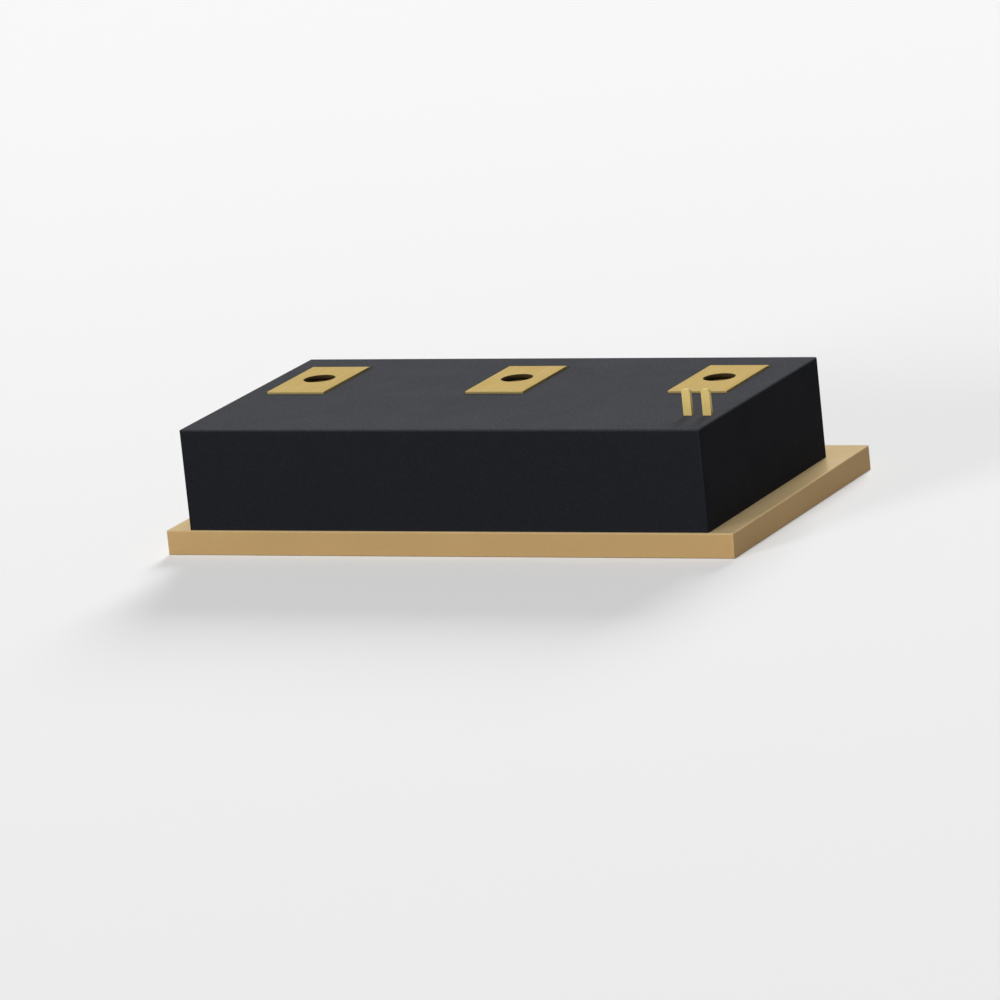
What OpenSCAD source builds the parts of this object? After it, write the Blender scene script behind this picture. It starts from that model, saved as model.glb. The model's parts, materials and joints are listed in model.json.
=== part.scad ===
// Power semiconductor module: a thyristor and a diode in series on one copper baseplate.
// A one-piece moulded case carries three screw terminals in a row and a pair of control pins.
// Millimetres, +Z up, origin at the centre of the baseplate's underside, front face towards -Y.

/* [Baseplate] */
// Length of the baseplate, left to right
base_w = 106.4; // [100:0.2:130]
// Depth of the baseplate, front to back
base_d = 61.4; // [54:0.2:80]
// Thickness of the baseplate
base_t = 4.4; // [3:0.1:8]
// Radius that breaks the baseplate's edges
base_edge_r = 0.3; // [0.1:0.05:0.8]

/* [Case] */
// Length of the case
case_w = 97.5; // [88:0.5:104]
// Depth of the case
case_d = 52.6; // [47:0.2:58]
// Height of the case above the baseplate
case_h = 17.8; // [17:0.2:24]
// Step from the baseplate's front edge back to the case
case_step = 0.3; // [0:0.1:3]
// Thickness of the case's side walls
wall_t = 1.5; // [1.2:0.1:1.7]
// Thickness of the case's top
top_t = 2; // [1.6:0.1:3]
// Width of the rim that the case stands on
rim_w = 3; // [2.4:0.1:3.4]
// Height of that rim
rim_h = 2; // [1.4:0.1:3]
// Radius along the case's outer edges
case_edge_r = 0.5; // [0.2:0.1:1]

/* [Seal] */
// Width of the adhesive bead between case and baseplate
seal_w = 1.2; // [0.8:0.1:1.6]
// Height of the adhesive bead
seal_h = 0.8; // [0.4:0.1:1]

/* [Terminals] */
// Distance from the case's ends to the outer terminals, with the row at the middle
terminal_inset = 10.6; // [10.2:0.1:12]
// Distance of the row to the left of the case's centre line
row_shift = 0.75; // [0:0.05:1]
// Distance from the case's back face to the screw holes
hole_setback = 16.7; // [15.5:0.1:18]
// Width of a terminal's tab
tab_w = 10.9; // [10:0.1:12]
// Length of a terminal's tab, to the outside of its fold
tab_l = 19.8; // [17:0.1:21]
// Thickness of the terminal strip
strip_t = 0.8; // [0.6:0.1:1.2]
// Inside radius of the folds in the strip
fold_r = 0.5; // [0.3:0.1:0.8]
// Diameter of the clearance hole in a tab
tab_hole_d = 5.5; // [5.2:0.1:5.8]
// Depth of the recess that seats a tab
recess_t = 0.4; // [0.2:0.1:0.6]
// Gap between the strip and the case
strip_gap = 0.1; // [0.05:0.05:0.2]
// Width of the leg inside the case
leg_w = 8; // [6:0.5:9]
// Length of the full-width part of the leg, under the fold
shoulder_l = 3; // [2.5:0.5:4]
// Length of the flat foot that is soldered down
foot_l = 5; // [4:0.5:6]

/* [Nuts] */
// Width of a nut across its flats
nut_w = 8; // [7:0.1:8.4]
// Thickness of a nut
nut_h = 4; // [2.7:0.1:4.7]
// Diameter of a nut's bore at the thread's crests
nut_bore_d = 4.2; // [4:0.05:4.4]
// Gap between a nut and its pocket
nut_gap = 0.1; // [0.05:0.05:0.15]
// Diameter of the well for the end of the screw
well_d = 5.8; // [5.4:0.1:6.4]
// Depth of that well under the nut
well_h = 4; // [2:0.5:4.5]
// Thickness of plastic round and under the nut and the well
tower_t = 1.2; // [1:0.1:1.4]

/* [Control pins] */
// Width of a pin
pin_w = 1.5; // [1:0.1:1.6]
// Thickness of a pin
pin_t = 0.8; // [0.5:0.1:1]
// Height of a pin above the case
pin_h = 4.5; // [4:0.5:9]
// Distance between the two pins
pin_pitch = 3.55; // [3.2:0.05:4]
// Distance from the case's right side to the outer pin
pin_inset = 2.7; // [2.6:0.05:3.5]
// Distance from the case's front face to the pins
pin_setback = 10.3; // [8:0.1:13]
// Gap between a pin and its slot
pin_gap = 0.05; // [0.02:0.01:0.1]
// Bevel at a pin's tip
pin_bevel = 0.3; // [0.1:0.1:0.4]
// Width of the collar that stops a pin under its boss
collar_w = 2.1; // [1.8:0.1:2.2]
// Height of the collar
collar_h = 1; // [0.6:0.1:1.4]
// Width of the tail under the collar, where the lead is soldered
tail_w = 1; // [0.8:0.1:1.4]
// Length of that tail
tail_l = 2.5; // [2:0.1:3]
// Height of the boss that guides the pins
boss_h = 1.8; // [1:0.1:2.2]
// Diameter of a control lead
lead_d = 1; // [0.6:0.1:1.2]
// Bend radius of a control lead, at its centre line
lead_r = 1.5; // [1:0.1:1.8]

/* [Substrates] */
// Depth of the substrates, front to back
tile_d = 38; // [36:0.5:42]
// Gap between the two substrates
tile_gap = 1.5; // [1:0.1:3]
// Thickness of the ceramic
ceramic_t = 0.63; // [0.3:0.01:1]
// Thickness of the copper on each side of the ceramic
copper_t = 0.3; // [0.2:0.05:0.5]
// Bare ceramic border round the copper, and the gap between tracks
border_w = 1; // [0.8:0.1:1.2]
// Thickness of the solder under the substrates
tile_solder_t = 0.2; // [0.1:0.05:0.3]
// Thickness of the other solder layers
solder_t = 0.1; // [0.05:0.05:0.15]
// Copper left showing round a soldered foot
land_w = 0.3; // [0.2:0.1:0.5]

/* [Chips] */
// Side of the thyristor and diode chips
chip_w = 16; // [14:0.5:18]
// Thickness of a chip
chip_t = 0.4; // [0.2:0.05:0.6]
// Diameter of the disc that spreads the load on a chip
disc_d = 14; // [12:0.5:14]
// Thickness of that disc
disc_t = 0.8; // [0.5:0.1:1.2]
// Hole over the gate at the middle of the thyristor
gate_hole_d = 3; // [2:0.1:4]
// Distance from the front border of the substrate to the chips
chip_setback = 3; // [1:0.5:4]
// Distance of the diode to the left of its substrate's centre line
diode_shift = 2; // [0:0.5:3]
// Width of a bridge strip
bridge_w = 11; // [9:0.5:13]
// Thickness of a bridge strip
bridge_t = 0.8; // [0.5:0.1:1]
// Inside radius of the folds in a bridge strip
bridge_fold_r = 0.4; // [0.3:0.1:0.5]
// Rise of the arch in a bridge strip
arch_h = 2; // [1.8:0.1:2.4]
// Length of a bridge's foot
bridge_foot_l = 4; // [3:0.5:5]
// Distance from the chip's centre line to the cathode lead
cathode_tap = 4; // [3.5:0.1:4.5]

/* [Gel] */
// Depth of the silicone gel over the baseplate
gel_h = 6.2; // [5:0.1:7]

/* [Hidden] */
$fn = 48;
// Cutters run this far past the faces that they cut
past = 1;
// Angle between a hexagon's corner and the middle of the next flat
hexagon_angle = 30;
// Slope at which a nut's corners are turned down
nut_slope = 30;

// Heights of the layers, from the baseplate up
tile_z = base_t + tile_solder_t;
ceramic_z = tile_z + copper_t;
track_z = ceramic_z + ceramic_t;
pad_z = track_z + copper_t;
chip_z = pad_z + solder_t;
chip_top_z = chip_z + chip_t;
disc_z = chip_top_z + solder_t;
bridge_z = disc_z + disc_t + solder_t;
gel_z = base_t + gel_h;
case_top_z = base_t + case_h;
ceiling_z = case_top_z - top_t;
seat_z = case_top_z - recess_t;

// Case and cavity in plan
case_x = -case_w / 2;
case_y = -base_d / 2 + case_step;
case_back_y = case_y + case_d;

// Terminals in plan: x of each, and y of the holes, the tabs' front ends and the legs' back faces
terminal_x = [for (i = [-1:1]) i * (case_w / 2 - terminal_inset) - row_shift];
hole_y = case_back_y - hole_setback;
tab_y = hole_y - tab_l / 2;
leg_y = tab_y + tab_l;
strip_out_r = fold_r + strip_t;

// Nuts and their towers
nut_z = seat_z - nut_h - 2 * nut_gap;
pocket_w = nut_w + 2 * nut_gap;
well_z = nut_z - well_h;
tower_z = well_z - tower_t;
tower_d = pocket_w / cos(hexagon_angle) + 2 * tower_t;

// Control pins: the gate pin is the outer one
gate_pin_x = case_w / 2 - pin_inset;
cathode_pin_x = gate_pin_x - pin_pitch;
pin_y = case_y + pin_setback;
pin_top_z = case_top_z + pin_h;
boss_z = ceiling_z - boss_h;
tail_z = boss_z - collar_h - tail_l;
lead_z = (gel_z + tail_z) / 2;

// Substrates in plan: their edges follow the feet that are soldered to them
foot_edge = leg_w / 2 + land_w + border_w;
tile_left = terminal_x[0] - foot_edge;
tile_split = terminal_x[1] + foot_edge;
tile_right = terminal_x[2] + foot_edge;
tile_back = leg_y + land_w + border_w;
tile_front = tile_back - tile_d;
diode_tile = [tile_left, tile_split];
thyristor_tile = [tile_split + tile_gap, tile_right];
cathode_track_end = tile_left + border_w + leg_w + 2 * land_w;

// Chips and bridges in plan
chip_y = tile_front + border_w + chip_setback + chip_w / 2;
thyristor_x = (thyristor_tile[0] + thyristor_tile[1]) / 2;
diode_x = (tile_left + tile_split) / 2 - diode_shift;
bridge_r = bridge_fold_r + bridge_t / 2;

// ---- shared shapes ----

// A box with one corner at low and the other at high
module span(low, high) {
    translate(low) cube(high - low);
}

module rounded_rectangle(w, h, r) {
    translate([r, 0]) square([w - 2 * r, h]);
    translate([0, r]) square([w, h - 2 * r]);
    for (x = [r, w - r]) for (y = [r, h - r]) translate([x, y]) circle(r);
}

// A box with its corner at the origin and its edges rounded. The edges round its foot stay sharp
// where the outlines seen from the front and the side run a radius below it.
module rounded_box(size, r, sharp_foot) {
    below = sharp_foot ? r : 0;
    intersection() {
        linear_extrude(size[2]) rounded_rectangle(size[0], size[1], r);
        translate([0, size[1], -below]) rotate([90, 0, 0])
            linear_extrude(size[1]) rounded_rectangle(size[0], size[2] + below, r);
        translate([0, 0, -below]) rotate([90, 0, 90])
            linear_extrude(size[0]) rounded_rectangle(size[1], size[2] + below, r);
    }
}

// The fold of a strip from +X downwards by turn degrees, round the origin
module fold_down(turn, w, t, r) {
    rotate([90, 0, 0]) rotate([0, 0, 90 - turn])
        rotate_extrude(angle = turn) translate([r, -w / 2]) square([t, w]);
}

// A strip folded along a list of [length, width, turn in degrees], from the origin along +X.
// Its centre line lies in the XZ plane; a positive turn folds it downwards and a negative one upwards.
module folded_strip(legs, t, r, i = 0) {
    if (i < len(legs)) {
        length = legs[i][0];
        w = legs[i][1];
        turn = legs[i][2];
        bend_z = (turn < 0 ? 1 : -1) * (r + t / 2);
        translate([0, -w / 2, -t / 2]) cube([length, w, t]);
        translate([length, 0, bend_z]) {
            if (turn > 0) fold_down(turn, w, t, r);
            if (turn < 0) mirror([0, 0, 1]) fold_down(-turn, w, t, r);
            rotate([0, turn, 0]) translate([0, 0, -bend_z]) folded_strip(legs, t, r, i + 1);
        }
    }
}

// Three copies of a shape, one at each screw hole
module at_terminals() {
    for (x = terminal_x) translate([x, hole_y, 0]) children();
}

// A hexagonal prism of the given width across its flats, with two corners on the Y axis
module hexagon_prism(w, h) {
    rotate([0, 0, hexagon_angle]) cylinder(h = h, d = w / cos(hexagon_angle), $fn = 6);
}

// ---- housing ----

module baseplate() {
    color("#b49565") translate([-base_w / 2, -base_d / 2, 0])
        rounded_box([base_w, base_d, base_t], base_edge_r, false);
}

// Outer size of the case less an inset on every side, between two heights
module case_block(inset, low, high) {
    span([case_x + inset, case_y + inset, low], [-case_x - inset, case_back_y - inset, high]);
}

module seal_ring() {
    inset = (rim_w - seal_w) / 2;
    difference() {
        case_block(inset, base_t, base_t + seal_h);
        case_block(inset + seal_w, base_t - past, base_t + seal_h + past);
    }
}

module case_seal() {
    color("#3a3a3c") seal_ring();
}

module case_hollow() {
    case_block(rim_w, base_t - past, base_t + rim_h);
    case_block(wall_t, base_t + rim_h, ceiling_z);
}

module tab_recess() {
    span([-tab_w / 2 - strip_gap, tab_y - hole_y - strip_gap, seat_z],
         [tab_w / 2 + strip_gap, leg_y - hole_y + strip_gap, case_top_z + past]);
    span([-tab_w / 2 - strip_gap, leg_y - hole_y - strip_out_r, ceiling_z - past],
         [tab_w / 2 + strip_gap, leg_y - hole_y + strip_gap, case_top_z + past]);
}

module nut_pocket() {
    translate([0, 0, nut_z]) hexagon_prism(pocket_w, case_top_z);
    translate([0, 0, well_z]) cylinder(h = case_top_z, d = well_d);
}

module nut_tower() {
    translate([0, 0, tower_z]) cylinder(h = ceiling_z + top_t / 2 - tower_z, d = tower_d);
}

module pin_boss() {
    span([cathode_pin_x - collar_w / 2, pin_y - pin_t / 2 - tower_t, boss_z],
         [-case_x - wall_t / 2, pin_y + pin_t / 2 + tower_t, ceiling_z + top_t / 2]);
}

module pin_slot(x) {
    span([x - pin_w / 2 - pin_gap, pin_y - pin_t / 2 - pin_gap, boss_z - past],
         [x + pin_w / 2 + pin_gap, pin_y + pin_t / 2 + pin_gap, case_top_z + past]);
}

module case() {
    color("#26272b") difference() {
        union() {
            difference() {
                translate([case_x, case_y, base_t])
                    rounded_box([case_w, case_d, case_h], case_edge_r, true);
                case_hollow();
            }
            at_terminals() nut_tower();
            pin_boss();
        }
        seal_ring();
        at_terminals() {
            tab_recess();
            nut_pocket();
        }
        pin_slot(gate_pin_x);
        pin_slot(cathode_pin_x);
    }
}

// ---- terminals ----

module terminal(x) {
    leg_l = seat_z + strip_t - pad_z - solder_t - 2 * strip_out_r - shoulder_l;
    color("#c8ae6f") difference() {
        translate([x, tab_y, seat_z + strip_t / 2]) rotate([0, 0, 90])
            folded_strip([
                [tab_l - strip_out_r, tab_w, 90],
                [shoulder_l, tab_w, 0],
                [leg_l, leg_w, 90],
                [foot_l, leg_w, 0]
            ], strip_t, fold_r);
        translate([x, hole_y, seat_z - past]) cylinder(h = strip_t + 2 * past, d = tab_hole_d);
    }
}

module left_terminal() { terminal(terminal_x[0]); }
module middle_terminal() { terminal(terminal_x[1]); }
module right_terminal() { terminal(terminal_x[2]); }

// A hexagon nut with its corners turned down on both faces
module nut() {
    flat_r = nut_w / 2;
    corner_r = flat_r / cos(hexagon_angle);
    drop = (corner_r - flat_r) * tan(nut_slope);
    difference() {
        intersection() {
            hexagon_prism(nut_w, nut_h);
            rotate_extrude() polygon([
                [0, 0], [flat_r, 0], [corner_r, drop],
                [corner_r, nut_h - drop], [flat_r, nut_h], [0, nut_h]
            ]);
        }
        translate([0, 0, -past]) cylinder(h = nut_h + 2 * past, d = nut_bore_d);
    }
}

module terminal_nuts() {
    color("#b9b4a4") at_terminals() translate([0, 0, nut_z]) nut();
}

// ---- control pins and leads ----

// Half of a pin's outline, from the tail up, as [half width, height]
half_pin = [
    [tail_w / 2, tail_z], [tail_w / 2, boss_z - collar_h],
    [collar_w / 2, boss_z - collar_h], [collar_w / 2, boss_z],
    [pin_w / 2, boss_z], [pin_w / 2, pin_top_z - pin_bevel],
    [pin_w / 2 - pin_bevel, pin_top_z]
];

module control_pin(x) {
    other_half = [for (i = [len(half_pin) - 1:-1:0]) [-half_pin[i][0], half_pin[i][1]]];
    color("#c8ae6f") translate([x, pin_y + pin_t / 2, 0]) rotate([90, 0, 0])
        linear_extrude(pin_t) polygon(concat(half_pin, other_half));
}

module gate_pin() { control_pin(gate_pin_x); }
module cathode_pin() { control_pin(cathode_pin_x); }

// A quarter bend that joins the +X and +Z sides of the origin
module elbow() {
    rotate([90, 0, 0]) rotate_extrude(angle = 90) translate([lead_r, 0]) circle(d = lead_d);
}

// A round lead that climbs from start, runs level and climbs again to the tail of the pin at x
module lead(start, x) {
    reach = [x - start[0], pin_y - start[1]];
    run = norm(reach);
    translate([start[0], start[1], 0]) rotate([0, 0, atan2(reach[1], reach[0])]) {
        translate([0, 0, start[2]]) cylinder(h = lead_z - lead_r - start[2], d = lead_d);
        translate([lead_r, 0, lead_z - lead_r]) mirror([1, 0, 0]) elbow();
        translate([lead_r, 0, lead_z]) rotate([0, 90, 0]) cylinder(h = run - 2 * lead_r, d = lead_d);
        translate([run - lead_r, 0, lead_z + lead_r]) mirror([0, 0, 1]) elbow();
        translate([run, 0, lead_z + lead_r]) cylinder(h = tail_z - lead_z - lead_r, d = lead_d);
    }
}

module gate_lead() {
    color("#e7e4dc") lead([thyristor_x, chip_y, chip_top_z], gate_pin_x);
}

module cathode_lead() {
    tap = [thyristor_x + cathode_tap, chip_y - cathode_tap, bridge_z + bridge_t];
    color("#b3322a") lead(tap, cathode_pin_x);
}

// ---- chips ----

module chip(x, z, t) {
    span([x - chip_w / 2, chip_y - chip_w / 2, z], [x + chip_w / 2, chip_y + chip_w / 2, z + t]);
}

module disc(x, z, t) {
    translate([x, chip_y, z]) cylinder(h = t, d = disc_d);
}

module gate_hole(z, t) {
    translate([thyristor_x, chip_y, z - past]) cylinder(h = t + 2 * past, d = gate_hole_d);
}

module thyristor_chip() { color("#5c6168") chip(thyristor_x, chip_z, chip_t); }
module diode_chip() { color("#5c6168") chip(diode_x, chip_z, chip_t); }

module thyristor_disc() {
    color("#8d8f94") difference() {
        disc(thyristor_x, disc_z, disc_t);
        gate_hole(disc_z, disc_t);
    }
}

module diode_disc() { color("#8d8f94") disc(diode_x, disc_z, disc_t); }

// ---- bridges from a chip's top, leftwards to a track ----

module bridge(x, end) {
    drop = bridge_z - pad_z - solder_t + arch_h;
    start = x + disc_d / 2;
    arch_l = start - end - disc_d - bridge_foot_l - 4 * bridge_r;
    translate([start, chip_y, bridge_z + bridge_t / 2]) rotate([0, 0, 180])
        folded_strip([
            [disc_d, bridge_w, -90],
            [arch_h - 2 * bridge_r, bridge_w, 90],
            [arch_l, bridge_w, 90],
            [drop - 2 * bridge_r, bridge_w, -90],
            [bridge_foot_l, bridge_w, 0]
        ], bridge_t, bridge_fold_r);
}

// Left ends of the bridges' feet
diode_bridge_end = tile_left + border_w + land_w;
thyristor_bridge_end = tile_split - border_w - land_w - bridge_foot_l;

module thyristor_bridge() {
    color("#b87a4b") difference() {
        bridge(thyristor_x, thyristor_bridge_end);
        gate_hole(bridge_z, bridge_t);
    }
}

module diode_bridge() { color("#b87a4b") bridge(diode_x, diode_bridge_end); }

// ---- substrates ----

// A layer of one substrate, inset from its edges, from a height up by t
module tile_layer(tile, inset, z, t) {
    span([tile[0] + inset, tile_front + inset, z], [tile[1] - inset, tile_back - inset, z + t]);
}

module thyristor_ceramic() { color("#f1efe8") tile_layer(thyristor_tile, 0, ceramic_z, ceramic_t); }
module diode_ceramic() { color("#f1efe8") tile_layer(diode_tile, 0, ceramic_z, ceramic_t); }
module thyristor_back_copper() { color("#b87a4b") tile_layer(thyristor_tile, border_w, tile_z, copper_t); }
module diode_back_copper() { color("#b87a4b") tile_layer(diode_tile, border_w, tile_z, copper_t); }
module anode_track() { color("#b87a4b") tile_layer(thyristor_tile, border_w, track_z, copper_t); }

module midpoint_track() {
    color("#b87a4b") tile_layer([cathode_track_end, tile_split], border_w, track_z, copper_t);
}

module cathode_track() {
    color("#b87a4b") tile_layer([tile_left, cathode_track_end + border_w], border_w, track_z, copper_t);
}

// ---- solder ----

module substrate_solder() {
    color("#c9ccd0") {
        tile_layer(thyristor_tile, border_w, base_t, tile_solder_t);
        tile_layer(diode_tile, border_w, base_t, tile_solder_t);
    }
}

module chip_solder() {
    color("#c9ccd0") {
        chip(thyristor_x, pad_z, solder_t);
        chip(diode_x, pad_z, solder_t);
        disc(diode_x, chip_top_z, solder_t);
        difference() {
            disc(thyristor_x, chip_top_z, solder_t);
            gate_hole(chip_top_z, solder_t);
        }
    }
}

// The solder between a bridge and the disc under it
module bridge_solder(x) {
    intersection() {
        disc(x, bridge_z - solder_t, solder_t);
        translate([x - chip_w / 2, chip_y - bridge_w / 2, bridge_z - solder_t])
            cube([chip_w, bridge_w, solder_t]);
    }
}

module joint_solder() {
    color("#c9ccd0") {
        bridge_solder(diode_x);
        difference() {
            bridge_solder(thyristor_x);
            gate_hole(bridge_z - solder_t, solder_t);
        }
        for (end = [diode_bridge_end, thyristor_bridge_end])
            translate([end, chip_y - bridge_w / 2, pad_z]) cube([bridge_foot_l, bridge_w, solder_t]);
        for (x = terminal_x)
            translate([x - leg_w / 2, leg_y - strip_out_r - foot_l, pad_z]) cube([leg_w, foot_l, solder_t]);
    }
}

// ---- gel ----

module silicone_gel() {
    color("#dfe6ea") difference() {
        union() {
            case_block(rim_w, base_t, gel_z);
            case_block(wall_t, base_t + rim_h, gel_z);
        }
        substrate_solder();
        thyristor_back_copper();
        diode_back_copper();
        thyristor_ceramic();
        diode_ceramic();
        anode_track();
        midpoint_track();
        cathode_track();
        chip_solder();
        thyristor_chip();
        diode_chip();
        thyristor_disc();
        diode_disc();
        joint_solder();
        thyristor_bridge();
        diode_bridge();
        left_terminal();
        middle_terminal();
        right_terminal();
        gate_lead();
        cathode_lead();
    }
}

baseplate();
case();
case_seal();
left_terminal();
middle_terminal();
right_terminal();
terminal_nuts();
gate_pin();
cathode_pin();
gate_lead();
cathode_lead();
thyristor_chip();
diode_chip();
thyristor_disc();
diode_disc();
thyristor_bridge();
diode_bridge();
thyristor_ceramic();
diode_ceramic();
thyristor_back_copper();
diode_back_copper();
anode_track();
midpoint_track();
cathode_track();
substrate_solder();
chip_solder();
joint_solder();
silicone_gel();
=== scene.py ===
"""A thyristor module finished for rendering: a moulded case on a copper baseplate, brass screw terminals,
captive nuts and a pair of control pins, standing on a pale studio floor. Lengths are in metres."""

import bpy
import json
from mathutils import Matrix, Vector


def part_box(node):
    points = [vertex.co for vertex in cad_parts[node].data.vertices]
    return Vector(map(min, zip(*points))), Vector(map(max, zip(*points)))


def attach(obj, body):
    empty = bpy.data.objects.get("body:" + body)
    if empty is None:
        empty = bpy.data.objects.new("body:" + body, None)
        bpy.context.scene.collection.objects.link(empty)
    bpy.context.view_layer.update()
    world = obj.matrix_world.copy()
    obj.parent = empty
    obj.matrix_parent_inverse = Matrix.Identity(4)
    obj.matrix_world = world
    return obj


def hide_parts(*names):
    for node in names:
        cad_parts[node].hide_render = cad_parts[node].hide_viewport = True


bl_info = {
    "name": "Thyristor Module",
    "version": (1, 0, 0),
    "blender": (4, 5, 0),
    "location": "3D View > Sidebar > Thyristor Module",
    "description": "Gives a power module its finishes, its threaded nuts and a plain studio",
    "category": "Object",
}

import json
import math
from collections import namedtuple

import bmesh
import bpy
from bpy.props import FloatProperty, FloatVectorProperty, IntProperty, PointerProperty
from bpy.types import Operator, Panel, PropertyGroup
from mathutils import Matrix, Vector

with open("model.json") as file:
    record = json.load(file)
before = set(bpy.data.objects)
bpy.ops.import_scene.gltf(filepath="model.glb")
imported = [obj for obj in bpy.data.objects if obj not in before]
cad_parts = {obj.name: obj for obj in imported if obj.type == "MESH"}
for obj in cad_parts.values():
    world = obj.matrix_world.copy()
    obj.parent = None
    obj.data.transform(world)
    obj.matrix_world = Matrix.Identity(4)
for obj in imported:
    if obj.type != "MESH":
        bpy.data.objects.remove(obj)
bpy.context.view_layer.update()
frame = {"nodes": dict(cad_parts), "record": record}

MM = 0.001
TERMINALS = ("left_terminal", "middle_terminal", "right_terminal")
PINS = ("gate_pin", "cathode_pin")
BODY = "root"
# Vertices closer than this are one vertex
MERGE_DISTANCE = 0.001 * MM
# Faces that turn by less than this lie in one plane
FLAT_ANGLE = math.radians(0.2)
# Edges that turn by more than this stay crisp in the shading
CRISP_ANGLE = math.radians(38)
# Edges that turn by more than this are broken with a small bevel
BEVEL_ANGLE = math.radians(50)
# Terminals and pins have their edges broken down to this far below the case's top
SEEN_DEPTH = 3 * MM
# Half the width over which the finish of a hole's wall ends on the tab round it
RIM_BLUR = 0.05 * MM
# Half the angle that one side of a hexagon nut takes, and the slope of its turned-down corners
HALF_SIDE = math.radians(30)
CORNER_SLOPE = math.radians(30)
# One turn of an internal thread, from crest to crest, as shares of its pitch and of its depth
THREAD_FORM = ((1 / 8, 0), (9 / 32, 1 / 2), (7 / 16, 1), (9 / 16, 1), (23 / 32, 1 / 2), (7 / 8, 0))

ScrewHole = namedtuple("ScrewHole", "x y radius")


def tone(*levels):
    """A display colour, with red, green and blue from 0 to 255, as linear light."""
    return tuple(((c / 255 + 0.055) / 1.055) ** 2.4 if c > 10 else c / 255 / 12.92 for c in levels)


def colour_property(name, description, default):
    return FloatVectorProperty(
        name=name, description=description, default=default, subtype="COLOR", size=3, min=0, max=1)


def length_property(name, description, default):
    return FloatProperty(
        name=name, description=description, default=default, min=0, precision=5,
        subtype="DISTANCE", unit="LENGTH")


def share_property(name, description, default):
    return FloatProperty(name=name, description=description, default=default, min=0, max=1, subtype="FACTOR")


def angle_property(name, description, default):
    return FloatProperty(
        name=name, description=description, default=math.radians(default), subtype="ANGLE", unit="ROTATION")


def number_property(name, description, default):
    return FloatProperty(name=name, description=description, default=default, min=0)


# ---- settings ----

class CaseSettings(PropertyGroup):
    colour: colour_property("Colour", "Colour of the moulded plastic", tone(30, 31, 35))
    worn_colour: colour_property("Worn colour", "Colour of rubbed edges", tone(44, 45, 50))
    wear: share_property("Wear", "How much of it shows along the edges", 0.3)
    wear_width: length_property("Wear width", "Width of the rubbed band", 0.7 * MM)
    mottling: share_property("Mottling", "How much of it shows on the grain's tops", 0.3)
    # The top's lighter layer is dust and painted light: it paints the upper face lighter than the sides, as
    # light from above would.
    dust_and_top_light_colour: colour_property("Dust and top light colour", "Colour that settles on the top", tone(150, 151, 156))
    dust_and_top_light: share_property("Dust and top light", "How much of that colour shows", 0.145)
    dust_and_top_light_turn: length_property("Dust and top light turn", "Height over which it ends at the edge", 0.4 * MM)
    patch_size: length_property("Patch size", "Size of the patches of uneven gloss", 7 * MM)
    roughness: share_property("Roughness", "Roughness of the moulded surface", 0.82)
    specular: share_property("Specular", "Strength of the plastic's reflections", 0.035)
    grain: length_property("Grain", "Size of the mould's fine spark texture", 0.35 * MM)
    grain_depth: length_property("Grain depth", "Depth of that texture", 0.012 * MM)
    bevel: length_property("Bevel", "Break on the edges of the recesses and slots", 0.12 * MM)


class BaseplateSettings(PropertyGroup):
    colour: colour_property("Colour", "Colour of the rolled copper alloy", tone(219, 194, 147))
    dull_colour: colour_property("Dull colour", "Colour of its tarnished patches", tone(206, 180, 133))
    shear_colour: colour_property("Shear colour", "Colour of the cut edge faces", tone(199, 165, 113))
    pit_shade: share_property("Pit shade", "Brightness of those faces' pits against the rest", 0.82)
    worn_colour: colour_property("Worn colour", "Colour of rubbed edges", tone(216, 194, 152))
    wear: share_property("Wear", "How much of it shows along the edges", 0.25)
    wear_width: length_property("Wear width", "Width of the rubbed band", 0.5 * MM)
    gloss_colour: colour_property("Gloss colour", "Tint of the reflections in it", tone(226, 200, 152))
    metallic: share_property("Metallic", "Share of the plate's look that is bare metal", 0.3)
    roughness: share_property("Roughness", "Roughness of the rolled faces", 0.38)
    patch_size: length_property("Patch size", "Size of the tarnished patches", 18 * MM)
    line_size: length_property("Line size", "Width of the rolling lines", 0.3 * MM)
    line_contrast: share_property("Line contrast", "How much the rolling lines dull the face", 0.35)
    face_turn: length_property("Face turn", "Height over which the rolled faces end", 0.2 * MM)
    edge_grain: length_property("Edge grain", "Size of the tumbled grain on the cut edges", 0.3 * MM)
    grain_depth: length_property("Grain depth", "Depth of that grain and of the lines", 0.008 * MM)


class TerminalSettings(PropertyGroup):
    colour: colour_property("Colour", "Colour of the brass strip", tone(209, 187, 126))
    dull_colour: colour_property("Dull colour", "Colour of its duller patches", tone(198, 174, 112))
    # Painted light: the pins' colours are lighter than the strip's so that their upright faces, which get
    # less light, look as lit as the tabs' tops.
    pin_colour_with_painted_light: colour_property("Pin colour", "Colour of the plated control pins", tone(231, 207, 134))
    pin_dull_colour_with_painted_light: colour_property("Pin dull colour", "Colour of their patches", tone(221, 194, 120))
    # Painted shade: the hole's wall is given this dark colour for the shade inside the hole.
    hole_shade_colour: colour_property("Cut colour", "Colour of the screw hole's wall", tone(54, 42, 25))
    gloss_colour: colour_property("Gloss colour", "Tint of the reflections in them all", tone(226, 200, 140))
    roughness: share_property("Roughness", "Roughness of the strip", 0.36)
    cut_roughness: share_property("Cut roughness", "How much rougher the hole's wall is", 0.3)
    metallic: share_property("Metallic", "Share of the strip's look that is bare metal", 0.7)
    pin_metallic: share_property("Pin metallic", "The same share on the control pins", 0.2)
    cut_metallic: share_property("Cut metallic", "The same share on the hole's wall", 0.1)
    patch_size: length_property("Patch size", "Size of the duller patches", 6 * MM)
    line_size: length_property("Line size", "Width of the drawing lines", 0.24 * MM)
    line_depth: length_property("Line depth", "Depth of the drawing lines along the strip", 0.006 * MM)
    bevel: length_property("Bevel", "Break on the edges of the strip", 0.1 * MM)


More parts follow.
